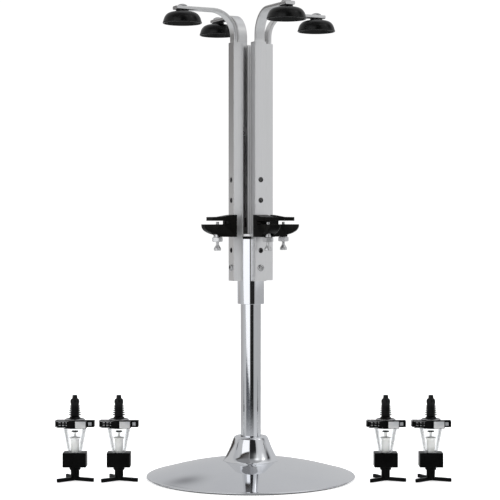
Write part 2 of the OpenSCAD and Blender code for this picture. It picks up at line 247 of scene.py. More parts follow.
# ------------------------------------------------------------------ materials
class Mat:
    """A node material with a Principled shader and short helpers for its textures."""

    def __init__(self, name, **consts):
        self.m = bpy.data.materials.new(name)
        self.m.use_nodes = True
        self.t = self.m.node_tree
        self.n, self.l = self.t.nodes, self.t.links
        self.b = self.n["Principled BSDF"]
        for k, v in consts.items():
            self.b.inputs[k.replace("_", " ")].default_value = v
        self.co = self.n.new("ShaderNodeTexCoord").outputs["Object"]

    def mapped(self, scale=(1, 1, 1)):
        mp = self.n.new("ShaderNodeMapping")
        mp.inputs["Scale"].default_value = scale
        self.l.new(self.co, mp.inputs["Vector"])
        return mp.outputs["Vector"]

    def noise(self, scale, detail=4, rough=0.55, stretch=(1, 1, 1), distortion=0.0):
        t = self.n.new("ShaderNodeTexNoise")
        t.inputs["Scale"].default_value = scale
        t.inputs["Detail"].default_value = detail
        t.inputs["Roughness"].default_value = rough
        t.inputs["Distortion"].default_value = distortion
        self.l.new(self.mapped(stretch), t.inputs["Vector"])
        return t.outputs["Fac"]

    def voronoi(self, scale):
        t = self.n.new("ShaderNodeTexVoronoi")
        t.inputs["Scale"].default_value = scale
        self.l.new(self.mapped(), t.inputs["Vector"])
        return t.outputs["Distance"]

    def ramp(self, fac, stops):
        r = self.n.new("ShaderNodeValToRGB")
        el = r.color_ramp.elements
        while len(el) < len(stops):
            el.new(0.5)
        for e, (p, c) in zip(el, stops):
            e.position = p
            e.color = c if isinstance(c, (tuple, list)) else (c, c, c, 1)
        self.l.new(fac, r.inputs["Fac"])
        return r.outputs["Color"]

    def range(self, fac, lo, hi, a=0.0, b=1.0):
        r = self.n.new("ShaderNodeMapRange")
        r.inputs["From Min"].default_value = a
        r.inputs["From Max"].default_value = b
        r.inputs["To Min"].default_value = lo
        r.inputs["To Max"].default_value = hi
        self.l.new(fac, r.inputs["Value"])
        return r.outputs["Result"]

    def mix(self, fac, a, b):
        m = self.n.new("ShaderNodeMix")
        m.data_type = "RGBA"
        for sock, v in ((m.inputs[6], a), (m.inputs[7], b)):
            if isinstance(v, (tuple, list)):
                sock.default_value = v
            else:
                self.l.new(v, sock)
        if isinstance(fac, (int, float)):
            m.inputs[0].default_value = fac
        else:
            self.l.new(fac, m.inputs[0])
        return m.outputs[2]

    def math(self, op, a, b=None):
        m = self.n.new("ShaderNodeMath")
        m.operation = op
        for s, v in zip(m.inputs, (a, b)):
            if v is None:
                continue
            if isinstance(v, (int, float)):
                s.default_value = v
            else:
                self.l.new(v, s)
        return m.outputs[0]

    def pointiness(self, lo, hi):
        g = self.n.new("ShaderNodeNewGeometry").outputs["Pointiness"]
        return self.range(g, 0.0, 1.0, lo, hi)

    def bump(self, height, strength, dist):
        b = self.n.new("ShaderNodeBump")
        b.inputs["Strength"].default_value = strength
        b.inputs["Distance"].default_value = dist
        self.l.new(height, b.inputs["Height"])
        return b.outputs["Normal"]

    def set(self, socket, out):
        self.l.new(out, self.b.inputs[socket])
        return self


def rgb(r, g=None, b=None, a=1.0):
    return (r, r if g is None else g, r if b is None else b, a)


def chrome_mat(name="polished_chrome"):
    m = Mat(name, Metallic=1.0, Roughness=0.04)
    big = m.noise(9, 3, 0.5)
    fine = m.noise(240, 5, 0.6)
    m.set("Base Color", m.ramp(big, [(0.3, rgb(0.79, 0.80, 0.83)), (0.7, rgb(0.84, 0.85, 0.87))]))
    m.set("Roughness", m.range(m.math("MULTIPLY", big, fine), 0.025, 0.085, 0.1, 0.42))
    m.set("Normal", m.bump(fine, 0.02, 0.00004))
    return m.m


def brushed_mat(name, lo, hi, r0, r1, along=(1, 1, 0.02), tint=(1, 1, 1), aniso=0.0):
    m = Mat(name, Metallic=1.0, Roughness=0.35, Anisotropic=aniso)
    streak = m.noise(900, 4, 0.6, along)
    big = m.noise(14, 3, 0.5)
    c = m.ramp(streak, [(0.25, rgb(lo * tint[0], lo * tint[1], lo * tint[2])), (0.75, rgb(hi * tint[0], hi * tint[1], hi * tint[2]))])
    c = m.mix(m.range(big, 0.0, 0.10, 0.35, 0.75), c, rgb(lo * 0.86, lo * 0.86, lo * 0.87))
    m.set("Base Color", c)
    m.set("Roughness", m.range(streak, r0, r1, 0.25, 0.75))
    m.set("Normal", m.bump(streak, 0.10, 0.00003))
    return m.m


def zinc_mat(name="zinc_steel", lo=0.70, hi=0.84, rough=0.22):
    m = Mat(name, Metallic=1.0, Roughness=rough)
    mott = m.noise(420, 6, 0.7)
    big = m.noise(60, 3, 0.5)
    m.set("Base Color", m.ramp(mott, [(0.25, rgb(lo, lo, lo * 1.02)), (0.75, rgb(hi, hi, hi * 0.99))]))
    m.set("Roughness", m.range(big, rough * 0.75, rough * 1.5, 0.3, 0.7))
    m.set("Normal", m.bump(mott, 0.12, 0.00005))
    return m.m


def plastic_mat(name, base, edge, rough, grain=1500, grain_h=0.00004, coat=0.0, spec=0.5, edge_wear_and_glint=(0.54, 0.64)):
    m = Mat(name, Roughness=rough)
    m.b.inputs["Specular IOR Level"].default_value = spec
    m.b.inputs["Coat Weight"].default_value = coat
    m.b.inputs["Coat Roughness"].default_value = 0.12
    g = m.noise(grain, 4, 0.6)
    big = m.noise(38, 4, 0.6)
    c = m.mix(m.range(big, 0.0, 1.0, 0.3, 0.7), base, tuple(min(1, v * 1.45 + 0.002) for v in base[:3]) + (1,))
    # lighter convex edges by pointiness: partly real edge wear, partly a painted highlight where edges catch light
    c = m.mix(m.pointiness(*edge_wear_and_glint), c, edge)
    m.set("Base Color", c)
    m.set("Roughness", m.range(m.math("ADD", g, big), rough * 0.82, rough * 1.25, 0.7, 1.3))
    m.set("Normal", m.bump(g, 0.25, grain_h))
    return m.m


def arm_mat():
    """Satin flat bar; along the length that stays inside the rail the base colour is painted lighter and has no darker
    patches, a painted light standing in for the light that reaches the shaded slot.
    """
    m = Mat("satin_aluminium_arm", Metallic=1.0, Roughness=0.35)
    streak = m.noise(900, 4, 0.6, (0.25, 0.25, 0.25))
    big = m.noise(14, 3, 0.5)
    sep = m.n.new("ShaderNodeSeparateXYZ")
    m.l.new(m.co, sep.inputs[0])
    # painted light mask: 0 below z 0.726 m, inside the rail, where the bar gets the lighter painted colour; 1 above z
    # 0.733 m
    out = m.range(sep.outputs[2], 0.0, 1.0, 0.726, 0.733)
    c = m.ramp(streak, [(0.25, rgb(0.72)), (0.75, rgb(0.80))])
    c = m.mix(m.range(big, 0.0, 0.10, 0.35, 0.75), c, rgb(0.62, 0.62, 0.63))
    # the lighter ramp inside the rail is painted light for the shaded slot, not the metal's own tone
    c = m.mix(out, m.ramp(streak, [(0.25, rgb(0.92)), (0.75, rgb(0.96))]), c)
    m.set("Base Color", c)
    m.set("Roughness", m.range(streak, 0.30, 0.40, 0.25, 0.75))
    m.set("Normal", m.bump(streak, 0.10, 0.00003))
    return m.m


CHROME = chrome_mat()
ALU = brushed_mat("satin_aluminium", 0.82, 0.88, 0.28, 0.36)
ALU_ARM = arm_mat()
ALU_CAP = brushed_mat("turned_aluminium", 0.68, 0.80, 0.2, 0.34, along=(0.3, 0.3, 1))
ZINC = zinc_mat(lo=0.68, hi=0.82, rough=0.32)
DARK_ZINC = zinc_mat("dark_zinc", 0.24, 0.36, 0.42)
SCREW = zinc_mat("screw_zinc", 0.46, 0.60, 0.22)
BOLT = zinc_mat("bolt_zinc", 0.46, 0.58, 0.40)
SPRING = zinc_mat("spring_steel", 0.20, 0.34, 0.34)
BLACKENED = zinc_mat("blackened_steel", 0.02, 0.045, 0.42)
IRON = plastic_mat("cast_iron", rgb(0.035), rgb(0.09), 0.62, grain=420, grain_h=0.0004)
PAD = plastic_mat("foam_pad", rgb(0.02), rgb(0.04), 0.9, grain=1300, grain_h=0.0003)
NYLON = plastic_mat("nylon", rgb(0.78, 0.77, 0.70), rgb(0.86, 0.85, 0.80), 0.42, grain=700)
BLACK = plastic_mat("black_plastic", rgb(0.0012, 0.0012, 0.0010), rgb(0.032, 0.031, 0.029), 0.36, grain=1800, grain_h=0.00005, spec=0.07)
MOULD = plastic_mat("black_moulding", rgb(0.0009), rgb(0.030), 0.28, grain=1400, grain_h=0.00003, spec=0.06, edge_wear_and_glint=(0.56, 0.68))
RUBBER = plastic_mat("black_rubber", rgb(0.0014), rgb(0.030), 0.20, grain=1100, grain_h=0.00003, spec=0.24, edge_wear_and_glint=(0.6, 0.72))
GREY = plastic_mat("grey_plate", rgb(0.27, 0.28, 0.30), rgb(0.50), 0.34, grain=900, spec=0.3)
SILVER = zinc_mat("silver_trim", 0.52, 0.72, 0.24)
IVORY = plastic_mat("ivory_plastic", rgb(0.88, 0.87, 0.81), rgb(0.92, 0.91, 0.86), 0.34, grain=700)


def clear_mat():
    """Clear plastic wall: it tints at grazing view, where the light passes through more of it, and it has a clear shine."""
    m = Mat("clear_plastic", Roughness=0.06, IOR=1.46)
    fine = m.noise(60, 3, 0.5)
    edge = m.n.new("ShaderNodeLayerWeight")
    edge.inputs["Blend"].default_value = 0.5
    see = m.n.new("ShaderNodeBsdfTransparent")
    m.l.new(m.ramp(edge.outputs["Facing"], [(0.0, rgb(0.962, 0.966, 0.968)), (0.70, rgb(0.940, 0.945, 0.948)), (0.88, rgb(0.82, 0.83, 0.84)), (0.96, rgb(0.52, 0.53, 0.55)), (1.0, rgb(0.30, 0.31, 0.33))]), see.inputs["Color"])
    shine = m.n.new("ShaderNodeBsdfGlossy")
    m.l.new(m.range(fine, 0.03, 0.10, 0.35, 0.7), shine.inputs["Roughness"])
    m.l.new(m.ramp(fine, [(0.3, rgb(0.90)), (0.7, rgb(0.97))]), shine.inputs["Color"])
    fr = m.n.new("ShaderNodeFresnel")
    fr.inputs["IOR"].default_value = 1.35
    mix = m.n.new("ShaderNodeMixShader")
    m.l.new(m.math("MULTIPLY", fr.outputs["Fac"], 0.55), mix.inputs["Fac"])
    m.l.new(see.outputs[0], mix.inputs[1])
    m.l.new(shine.outputs[0], mix.inputs[2])
    m.n.remove(m.b)
    m.l.new(mix.outputs[0], m.n["Material Output"].inputs["Surface"])
    return m.m


CLEAR = clear_mat()

# ------------------------------------------------------------------ stand
DOME_H, RIM = 32.0, 4.3
DR = (172 ** 2 + (DOME_H - 4) ** 2) / (2 * (DOME_H - 4))
DC = DOME_H - DR


def dome_z(r):
    return DC + math.sqrt(DR * DR - r * r)


top = [(6.5, dome_z(6.5))] + [(r, dome_z(r)) for r in [10 + (169.6 - 10) * k / 44 for k in range(45)]]
rim = [(171.4, 4.32), (172.8, 4.36), (173.9, 4.24), (174.6, 3.92), (174.95, 3.45), (175.0, 3.05), (174.85, 2.55), (174.4, 2.18), (173.8, 2.03), (169.9, 2.02), (169.8, 2.6)]
under = [(r, DC + math.sqrt((DR - 1.5) ** 2 - r * r)) for r in [169 - (169 - 7) * k / 24 for k in range(25)]] + [(6.5, DC + math.sqrt((DR - 1.5) ** 2 - 42))]
finish_mesh(lathe_bm(top + rim + under, 256, closed=True), "base_dome_shell", CHROME, "stand", "base_dome", sharp=50)

finish_mesh(lathe_bm([(0, 0.0)] + [(170.4, 0.0), (170.9, 0.25), (171, 0.8), (171, 1.99), (0, 1.99)], 192), "base_pad_disc", PAD, "stand", "base_pad")

zc = dome_z(48) + 0.05
outer = flow([(48.0, zc), (47.6, 30.15), (46.2, 31.4), (44.6, 33.2), (42.2, 36.6), (39.6, 41.4), (37.0, 46.6), (34.8, 51.6), (32.8, 56.8), (31.0, 61.8), (29.5, 65.6), (28.4, 67.9), (26.9, 69.6), (24.8, 70.45), (22.0, 70.5)], 5)
outer += [(18.2, 70.5), (17.35, 70.3), (17.12, 69.7), (17.12, 69.0)]
inner = flow([(24.4, 69.0), (25.8, 68.4), (27.0, 67.2), (28.0, 65.1), (29.5, 61.2), (31.3, 56.3), (33.3, 51.0), (35.5, 45.9), (38.2, 40.6), (40.6, 36.1), (43.4, 32.1), (45.4, dome_z(45.4) + 0.05)], 3)
finish_mesh(lathe_bm(outer + inner, 192, closed=True), "base_collar_shell", CHROME, "stand", "base_collar", sharp=40)

finish_mesh(lathe_bm([(0, 32.1), (16.9, 32.1), (17, 32.3), (17, 397.4), (16.6, 397.9), (6, 398), (6, 406.2), (5.2, 407), (0, 407)], 160), "column_tube_shell", CHROME, "stand", "column_tube", sharp=30)

# ------------------------------------------------------------------ carousel
finish_mesh(lathe_bm([(19.8, 292.3), (20.2, 292.0), (21.9, 292.0), (22.2, 292.12), (22.3, 292.5), (22.3, 400.5), (21.9, 400.98), (19.8, 401)], 160, closed=True), "sleeve_shell", CHROME, "carousel", "sleeve", sharp=50)
finish_mesh(lathe_bm([(6.05, 400.25), (17.4, 400.25), (17.4, 397.6), (17.7, 397.35), (19.5, 397.35), (19.76, 397.6), (19.76, 405.02), (21.7, 405.02), (22.1, 405.4), (22.1, 408.7), (21.6, 409.2), (20.9, 409.3), (0, 409.3), (0, 408.25), (6.05, 408.2)], 128, closed=True), "sleeve_cap_disc", ALU_CAP, "carousel", "sleeve_cap", sharp=40)
# painted shade: a black ring fills the recess between sleeve top and cap disc, where there is only shade
finish_mesh(lathe_bm([(19.8, 401.06), (20.9, 401.1), (21.25, 401.5), (21.35, 402.2), (21.35, 403.9), (21.2, 404.6), (20.8, 404.98), (19.8, 405.0)], 128, closed=True), "sleeve_cap_painted_shade_ring", BLACK, "carousel", "sleeve_cap", sharp=40)

RX, RO, RW, RT = 19.9, 36.6, 10.25, 1.3     # rail: inner face, outer face, half width, wall
SL = 4.25
rail_outline = fillet([
    (RX, SL, 0.25), (RX, 6.8, 0), (RX + 0.4, 6.8, 0), (RX + 0.4, 7.6, 0), (RX, 7.6, 0), (RX, RW, 0.5), (RO, RW, 0.7), (RO, -RW, 0.7), (RX, -RW, 0.5), (RX, -7.6, 0), (RX + 0.4, -7.6, 0),
    (RX + 0.4, -6.8, 0), (RX, -6.8, 0), (RX, -SL, 0.25), (RX + RT, -SL, 0.25), (RX + RT, -RW + RT, 0.3), (RO - RT, -RW + RT, 0.3), (RO - RT, RW - RT, 0.3),
    (RX + RT, RW - RT, 0.3), (RX + RT, SL, 0.25)], 3)
for i in range(4):
    holes = []
    for z, r in ((382, 4.4), (428, 4.4), (465, 4.4), (499, 4.4), (353, 2.52)):
        holes.append(move_bm(cyl_bm(r, 34, 40, 40), Matrix.Translation((0, 0, z * MM)) @ ALONG_X))
    holes.append(cyl_bm(22.32, 325, 409.6, 160))     # the inner edges are milled to sit on the sleeve
    bm = cut(prism_bm(rail_outline, 331, 727), holes)
    finish_mesh(bm, f"rail_{i+1}_channel", ALU, "carousel", f"rail_{i+1}", station(i), sharp=30)


def phillips(r_head, h_head, r_shank, length, seg=40):
    """Pan screw: seat at z = 0, head upwards, cross recess in its top."""
    pr = [(0, -length), (r_shank * 0.7, -length), (r_shank, -length + 0.6), (r_shank, 0), (r_head, 0), (r_head, h_head * 0.35)]
    for k in range(1, 8):
        a = k / 8 * pi / 2
        pr.append((r_head * (0.42 + 0.58 * math.cos(a)), h_head * (0.35 + 0.65 * math.sin(a))))
    pr.append((0, h_head))
    bm = lathe_bm(pr, seg)
    bmesh.ops.recalc_face_normals(bm, faces=bm.faces)
    w = r_head * 0.16
    arms = []
    for a in (18, 108):
        c = prism_bm([(-r_head * 0.58, -w), (r_head * 0.58, -w), (r_head * 0.58, w), (-r_head * 0.58, w)], h_head - r_head * 0.34, h_head + 1)
        arms.append(move_bm(c, Matrix.Rotation(math.radians(a), 4, "Z")))
    return cut(bm, arms)


parts = []
for i in range(4):
    for x, z, L, rh, hh, rs in ((RO, 353, RO - 20, 5.6, 3.0, 2.5), (27, 382, 7, 4, 2.6, 2)):
        parts.append(move_bm(phillips(rh, hh, rs, L), station(i) @ Matrix.Translation((x * MM, 0, z * MM)) @ ALONG_X))
finish_mesh(merge(*parts), "rail_screws_set", SCREW, "carousel", "rail_screws", sharp=28)
parts = [move_bm(phillips(2.75, 2.3, 2, 10.5), station(i) @ Matrix.Translation((43.9 * MM, 0, 428.05 * MM)) @ ALONG_X) for i in range(4)]
finish_mesh(merge(*parts), "rail_screws_bracket", BLACKENED, "carousel", "rail_screws", sharp=28)

# bracket: saddle, two jaws, boat-shaped lower jaw with chamfered lower edges
JZ, GAP, BW = 425.1, 5.9, 12.0


def bracket_bm():
    up = fillet([(31.5, 404.2, 0.8), (63.6, 404.4, 0.8), (63.6, JZ + 0.0, 0), (46.5, JZ, 0.9), (46.5, JZ + GAP, 0.9), (76.9, JZ + GAP, 0.7), (76.9, 437.3, 0.9), (59, 437.6, 14), (46, 439.8, 14), (38, 441, 6), (31.5, 441, 1.2)], 5)
    body = bevel_bm(prism_bm(up, -BW, BW, axis="Y"), 0.55, 2, 40)
    # lower jaw, lofted outwards; each row: x, half width at the top, height of the side's lower edge, half width and height of the bottom
    rows = [(60, 12, 409.4, 8.8, 405.6), (63.5, 12, 409.7, 8.8, 407.2), (67, 12, 410.7, 8.7, 408.0), (70.5, 12, 412.2, 8.4, 408.9), (74, 12, 414.0, 8.1, 409.9),
            (77, 11.95, 415.6, 7.7, 411.0), (80, 11.8, 417.2, 7.3, 412.4), (82.5, 11.4, 418.5, 6.9, 413.7), (84.5, 10.8, 419.6, 6.5, 415.0), (86.2, 9.8, 420.6, 6.0, 416.5),
            (87.3, 8.7, 421.5, 5.5, 418.2), (87.8, 8.0, 422.2, 5.2, 419.8), (88, 7.4, 422.9, 4.9, 421.2)]
    bm = bmesh.new()
    rings = []
    for x, w, zs, wb, zb in rows:
        mid = (0.5 * (w + wb) + 0.35, 0.5 * (zs + zb) - 0.35)
        loop = [(w - 0.5, JZ), (w, JZ - 0.5 if JZ - 0.5 > zs else zs), (w, zs), mid, (wb, zb), (-wb, zb), (-mid[0], mid[1]), (-w, zs), (-w, JZ - 0.5 if JZ - 0.5 > zs else zs), (-w + 0.5, JZ)]
        rings.append([bm.verts.new((x * MM, y * MM, z * MM)) for y, z in loop])
    for a, b in zip(rings, rings[1:]):
        for k in range(len(a)):
            l = (k + 1) % len(a)
            bm.faces.new((a[k], a[l], b[l], b[k]))
    bm.faces.new(rings[0][::-1])
    bm.faces.new(rings[-1])
    bmesh.ops.recalc_face_normals(bm, faces=bm.faces)
    body = cut(body, [bm], "UNION")
    seat = box_bm(20, RO + 0.03, -RW - 0.05, RW + 0.05, 400, 445)
    hollow = prism_bm([(43, 400), (62, 400), (72, 407.0), (79.0, 414.6), (81, 418.4), (81, 420.9), (43, 420.9)], -7.2, 7.2, axis="Y")
    hole = move_bm(cyl_bm(5.02, 415, 428, 40), Matrix.Translation((62 * MM, 0, 0)))
    scr = move_bm(cyl_bm(2.02, 30, 50, 32), Matrix.Translation((0, 0, 428.05 * MM)) @ ALONG_X)
    head = move_bm(cyl_bm(2.9, 43.9, 50, 32), Matrix.Translation((0, 0, 428.05 * MM)) @ ALONG_X)
    return cut(body, [seat, hollow, hole, scr, head])


for i in range(4):
    finish_mesh(bracket_bm(), f"bracket_{i+1}_body", BLACK, "carousel", f"bracket_{i+1}", station(i), sharp=38)


def hex_bm(af_r, z0, z1, chamfer):
    """Hexagon prism inside radius af_r, its lower and upper corners turned off."""
    bm = prism_bm([(af_r * math.cos(k * pi / 3), af_r * math.sin(k * pi / 3)) for k in range(6)], z0, z1)
    h = z1 - z0
    turn = lathe_bm([(0, z0), (af_r - chamfer * 1.7, z0), (af_r + 0.4, z0 + chamfer), (af_r + 0.4, z1 - chamfer), (af_r - chamfer * 1.7, z1), (0, z1)], 60)
    bmesh.ops.recalc_face_normals(turn, faces=turn.faces)
    return cut(bm, [turn], "INTERSECT")


nuts = []
for i in range(4):
    n = cut(hex_bm(9.1, 396.1, 403.95, 1.3), [cyl_bm(5, 403.5, 423.6, 48)], "UNION")
    n = cut(n, [cyl_bm(2.55, 380, 440, 40)])
    nuts.append(move_bm(n, station(i) @ Matrix.Translation((62 * MM, 0, 0)) @ Matrix.Rotation(math.radians(16), 4, "Z")))
finish_mesh(merge(*nuts), "clamp_nuts_set", ZINC, "carousel", "clamp_nuts", sharp=28)

# ------------------------------------------------------------------ arms
BX, BT, BWD, ZC, BR, REACH = 32.05, 5.8, 8.6, 778.6, 40.0, 125.6
TOP = ZC + BT / 2                            # upper face of the bar
CZ, CH = 753.2, 19.6                         # rim of a cup, and its height


def bar_bm():
    sec = fillet([(-BT / 2, -BWD, 1.5), (BT / 2, -BWD, 1.5), (BT / 2, BWD, 1.5), (-BT / 2, BWD, 1.5)], 4)
    path = [((BX, z), (0.0, 1.0)) for z in (590.0, 590.6, 630, 680, 730, ZC - BR)]
    for k in range(1, 33):
        a = pi - k / 32 * pi / 2
        path.append(((BX + BR + BR * math.cos(a), ZC - BR + BR * math.sin(a)), (math.sin(a), -math.cos(a))))
    path += [((x, ZC), (1.0, 0.0)) for x in (90, 110, 130, 138.5, 139.0)]
    bm = bmesh.new()
    rings = []
    last = len(path) - 1
    for j, ((x, z), (tx, tz)) in enumerate(path):
        nx, nz = tz, -tx                     # towards the outside of the rail, then down
        s = 0.93 if j in (0, last) else 1.0
        rings.append([bm.verts.new(((x + u * nx * s) * MM, v * (1 - (1 - s) * 0.28) * MM, (z + u * nz * s) * MM)) for u, v in sec])
    for a, b in zip(rings, rings[1:]):
        for k in range(len(a)):
            l = (k + 1) % len(a)
            bm.faces.new((a[k], a[l], b[l], b[k]))
    bm.faces.new(rings[0][::-1])
    bm.faces.new(rings[-1])
    bmesh.ops.recalc_face_normals(bm, faces=bm.faces)
    hole = move_bm(cyl_bm(3.02, 768, 790, 32), Matrix.Translation((REACH * MM, 0, 0)))
    eye = move_bm(cyl_bm(2, 20, 40, 24), Matrix.Translation((0, 0, 596 * MM)) @ ALONG_X)
    return cut(bm, [hole, eye])


def cup_bm():
    lip = fillet([(29.4, 0.0, 1.2), (32.15, 0.0, 1.25), (32.15, 2.3, 0.9), (31.7, 2.5, 0.4)], 6)[:-3]
    wall = flow([(31.75, 2.4), (31.3, 4.2), (30.7, 6.3), (29.8, 9.0), (28.5, 11.6), (26.7, 14.1), (24.3, 16.2), (21.3, 17.8), (17.6, 18.9), (13.8, 19.4), (11.3, 19.55)], 4)
    neck = [(10.75, 19.75), (10.5, 20.2), (10.5, 22.2), (10.3, 22.45), (3.05, 22.45), (3.05, 16.25), (8.6, 16.2)]
    inner = flow([(8.9, 16.2), (12.0, 16.1), (15.6, 15.7), (18.9, 14.8), (21.8, 13.4), (24.1, 11.6), (25.9, 9.5), (27.2, 7.2), (28.1, 4.8), (28.75, 2.6), (29.15, 1.0)], 3)
    return lathe_bm([(r, CZ + z) for r, z in lip + wall + neck + inner], 112, closed=True)


def cup_bolt_bm():
    cap = lathe_bm([(r, TOP + z) for r, z in [(0, -0.05), (8.1, 0.01), (8.3, 0.25), (8.3, 0.75), (8.05, 1.15), (7.4, 1.75), (6.2, 2.5), (4.6, 3.25), (2.6, 3.8), (1.1, 3.98), (0, 4.0)]], 64)
    top = CZ + CH - 3.4
    shank = cyl_bm(3.0, top - 4.0, TOP + 0.2, 40, 0.5)
    nut = lathe_bm([(r, top + z) for r, z in [(3.0, -3.6), (5.6, -3.6), (6.0, -3.2), (6.0, -0.3), (5.7, 0), (3.0, 0)]], 48, closed=True)
    for b in (cap, shank, nut):
        bmesh.ops.recalc_face_normals(b, faces=b.faces)
    return merge(cap, shank, nut)


def spring_bm(r=3.35, wire=0.62, z0=394.2, z1=574.0, turns=94, x=28.5):
    """Close-wound extension spring with a hook at each end, as one tube round a path."""
    pts = []
    steps = 14
    pts += [(0, -1.9 + 0.2 * k, z0 - 1.9 + 0.2 * k * 0.6) for k in range(3)]
    n = turns * steps
    for k in range(n + 1):
        a = 2 * pi * k / steps
        pts.append((r * math.cos(a), r * math.sin(a), z0 + (z1 - z0) * k / n))
    a_end = 2 * pi * n / steps
    for k in range(1, 5):                    # the coil narrows to its middle, then opens into an upright loop
        f = k / 4
        pts.append((r * math.cos(a_end) * (1 - f), r * math.sin(a_end) * (1 - f), z1 + 1.2 * f))
    for k in range(0, 15):
        a = -pi / 2 + 0.25 + k / 14 * (2 * pi - 0.6)
        pts.append((0.0, 2.5 * math.cos(a), z1 + 5.0 + 3.1 * math.sin(a)))
    bm = bmesh.new()
    rings = []
    P = [Vector(p) for p in pts]
    for k, p in enumerate(P):
        t = (P[min(k + 1, len(P) - 1)] - P[max(k - 1, 0)]).normalized()
        out = Vector((p.x, p.y, 0))
        out = out.normalized() if out.length > 1e-4 else Vector((1, 0, 0))
        u = (out - t * out.dot(t))
        u = u.normalized() if u.length > 1e-5 else Vector((0, 0, 1)).cross(t).normalized()
        v = t.cross(u)
        rings.append([bm.verts.new(((x + p.x + wire * (math.cos(q) * u.x + math.sin(q) * v.x)) * MM, (p.y + wire * (math.cos(q) * u.y + math.sin(q) * v.y)) * MM, (p.z + wire * (math.cos(q) * u.z + math.sin(q) * v.z)) * MM)) for q in [2 * pi * c / 6 for c in range(6)]])
    for a, b in zip(rings, rings[1:]):
        for k in range(6):
            l = (k + 1) % 6
            bm.faces.new((a[k], a[l], b[l], b[k]))
    bm.faces.new(rings[0][::-1])
    bm.faces.new(rings[-1])
    return bm


def thumbscrew_bm():
    bm = lathe_bm([(0, 429.2), (1.9, 429.2), (2.5, 428.6), (2.5, 390.9), (2.9, 390.3), (4.2, 388.3), (5.3, 386.6), (5.75, 385.7), (5.9, 385.0), (5.9, 382.4), (5.6, 381.8), (5.1, 381.6), (0, 381.6)], 48)
    bmesh.ops.recalc_face_normals(bm, faces=bm.faces)
    slot = box_bm(-8, 8, -0.55, 0.55, 380, 382.9)
    return cut(bm, [slot])


for i in range(4):
    S = station(i)
    finish_mesh(bar_bm(), f"arm_{i+1}_bar", ALU_ARM, f"bottle_arm_{i+1}", f"arm_{i+1}", S, sharp=30)
    finish_mesh(cup_bm(), f"cup_{i+1}_bell", RUBBER, f"bottle_arm_{i+1}", f"cup_{i+1}", S @ Matrix.Translation((REACH * MM, 0, 0)), sharp=50)
    finish_mesh(cup_bolt_bm(), f"cup_bolt_{i+1}_set", BOLT, f"bottle_arm_{i+1}", f"cup_bolt_{i+1}", S @ Matrix.Translation((REACH * MM, 0, 0)), sharp=40)
    sp = finish_mesh(spring_bm(), f"spring_{i+1}_coil", SPRING, None, None, S, sharp=180)
    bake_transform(sp)
    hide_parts(f"spring_{i+1}")
    finish_mesh(thumbscrew_bm(), f"thumbscrew_{i+1}_screw", ZINC, f"clamp_screw_{i+1}", f"thumbscrew_{i+1}", S @ Matrix.Translation((62 * MM, 0, 0)) @ Matrix.Rotation(math.radians(35), 4, "Z"), sharp=30)


# ------------------------------------------------------------------ shot measures
def stopper_bm():
    pr = [(2.2, 101.02), (13.6, 101.02), (14, 101.3), (14, 102.2), (13.6, 102.6), (10.2, 103.0), (9.4, 103.5), (9.0, 104.6), (8.0, 106.0), (7.0, 107.0)]
    for k in range(5):
        R = 10.2 - 0.35 * k
        z = 108.0 + 3.6 * k
        pr += [(6.8, z), (7.1, z + 0.35), (R - 0.25, z + 0.65), (R, z + 0.95), (R, z + 1.55), (R - 0.3, z + 1.85), (7.1, z + 2.05), (6.8, z + 2.4)]
    pr += [(6.8, 127.0), (7.1, 127.6), (7.4, 128.4), (7.5, 131.2), (7.35, 133.2), (6.9, 134.7), (5.9, 135.7), (4.7, 136.2), (4.35, 136.8), (4.2, 139.0), (4.1, 141.2), (3.7, 141.9), (3.2, 142.0), (2.2, 142.0)]
    return lathe_bm(pr, 72, closed=True)


def flange_ring_bm():
    """Pale ring round the stopper's flange."""
    return lathe_bm([(14.15, 101.02), (15.2, 101.02), (15.9, 101.3), (16.1, 101.8), (15.8, 102.4), (15.1, 102.7), (14.15, 102.75)], 72, closed=True)


def head_bm():
    ring = lathe_bm(fillet([(0, 88, 0), (20.6, 88, 0.5), (20.6, 90.2, 0.5), (19.6, 90.4, 0.2), (19.6, 99.4, 0.8), (15.4, 101, 0.6), (0, 101, 0)], 3), 72)
    bmesh.ops.recalc_face_normals(ring, faces=ring.faces)
    adds = [box_bm(-31, -11, -9, 9, 89.6, 100.2, 0.8), box_bm(-32.2, -29.5, -7.5, 7.5, 90.0, 99.8, 0.9), box_bm(18, 32.9, -9.5, 4, 89.4, 100.4, 0.8),
            box_bm(2.0, 20.6, -21.2, -8, 88.4, 100.9, 0.6), box_bm(-27.5, 1.0, -14.2, -6, 89.2, 91.0, 0.4), box_bm(-27.5, 1.0, -14.2, -6, 98.6, 100.4, 0.4)]
    bm = cut(ring, adds, "UNION")
    recess = box_bm(22.4, 28.6, -11, -8.0, 91.8, 98.0)
    bore = cyl_bm(2.6, 80, 110, 32)
    return cut(bm, [recess, bore])


def ribs_bm():
    """Dark upright ribs of the wing, standing in front of its floor."""
    out = []
    for k in range(5):
        x = -27.6 + 5.9 * k
        y = -14.2 - (0, 0.9, 1.9, 2.9, 3.6)[k]
        out.append(box_bm(x, x + 1.9, y, -7.5, 90.6, 99.6, 0.4, 2))
    return merge(*out)


def dashes_bm():
    """Short bright bars between the ribs, in two rows."""
    out = []
    for k in range(4):
        x = -25.6 + 5.9 * k
        y = -13.6 - (0, 0.9, 1.9, 2.9)[k]
        for z in (92.4, 96.8):
            out.append(box_bm(x + 0.2, x + 3.7, y, -8.4, z, z + 1.5, 0.3, 2))
    return merge(*out)


